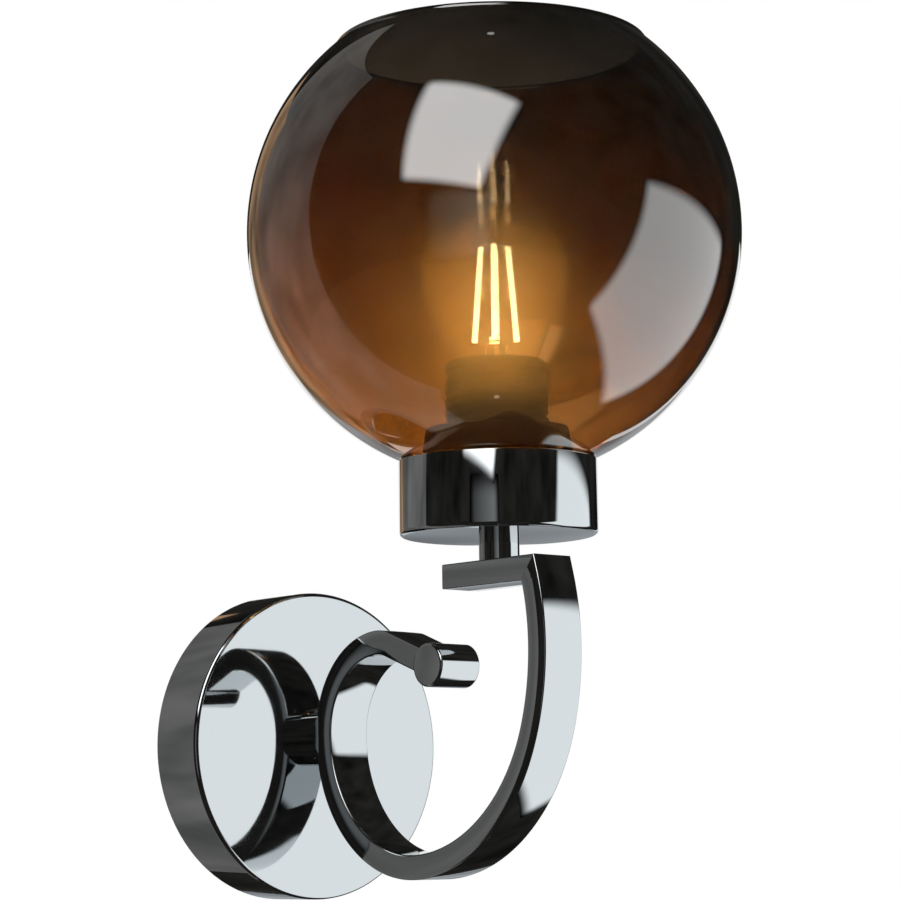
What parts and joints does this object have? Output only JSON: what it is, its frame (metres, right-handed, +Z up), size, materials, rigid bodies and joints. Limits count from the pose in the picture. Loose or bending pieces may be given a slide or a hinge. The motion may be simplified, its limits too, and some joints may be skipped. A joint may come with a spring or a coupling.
{
  "type": "globe wall sconce",
  "caption": "Chromed wall light: round wall plate, scrolled flat-tube arm, cup, smoked open-top glass globe and screw-in filament bulb.",
  "frame": {"origin": "centre of the round wall plate, on the wall", "axes": "+Z up the wall, the light stands out from the wall towards -Y, X along the wall"},
  "size_m": [0.2, 0.2435, 0.3461],
  "materials": {
    "chrome": "mirror polished chrome plate over steel",
    "zinc_steel": "bright zinc-plated steel",
    "white_nylon": "natural white moulded nylon",
    "dark_plastic": "black-brown moulded thermoset, satin",
    "porcelain": "unglazed white lampholder ceramic",
    "brass": "drawn brass, bright",
    "rubber": "black silicone rubber, matt",
    "smoked_glass": "blown glass with a grey-brown smoke tint, fire-polished lip",
    "clear_glass": "clear thin blown glass",
    "nickel": "nickel-plated rolled cap",
    "black_vitrite": "black cap insulator glass",
    "solder": "dull solder",
    "filament": "glowing coated filament stick",
    "lead_wire": "bright drawn wire"
  },
  "bodies": {
    "base": {"wall_plate": "chrome", "wall_bracket": "zinc_steel", "side_screws": "zinc_steel", "terminal_block": "white_nylon", "clamp_screws": "brass", "block_screw": "zinc_steel", "earth_screw": "zinc_steel", "boss": "chrome", "plate_nipple": "zinc_steel", "plate_washer": "zinc_steel", "plate_nut": "zinc_steel", "scroll_arm": "chrome", "scroll_rod": "chrome", "top_bar": "chrome", "bar_nut": "zinc_steel", "lamp_nipple": "zinc_steel", "spacer_tube": "chrome", "cup": "chrome", "cup_nut": "zinc_steel", "holder_base": "dark_plastic", "holder_skirt": "dark_plastic", "holder_latch": "dark_plastic", "holder_core": "porcelain", "screw_shell": "brass", "holder_contact": "brass"},
    "globe": {"glass_globe": "smoked_glass"},
    "ring": {"shade_ring": "dark_plastic", "ring_gasket": "rubber"},
    "bulb": {"bulb_envelope": "clear_glass", "bulb_cap": "nickel", "bulb_insulator": "black_vitrite", "bulb_contact": "solder", "bulb_stem": "clear_glass", "bulb_filaments": "filament", "bulb_wires": "lead_wire"}
  },
  "joints": [
    {"name": "globe_lift", "type": "slide", "parent": "base", "child": "globe", "axis": [0, 0, 1], "range_m": [0, 0.08]},
    {"name": "ring_lift", "type": "slide", "parent": "globe", "child": "ring", "axis": [0, 0, 1], "range_m": [0, 0.18]},
    {"name": "bulb_lift", "type": "slide", "parent": "ring", "child": "bulb", "axis": [0, 0, 1], "range_m": [0, 0.19]}
  ]
}
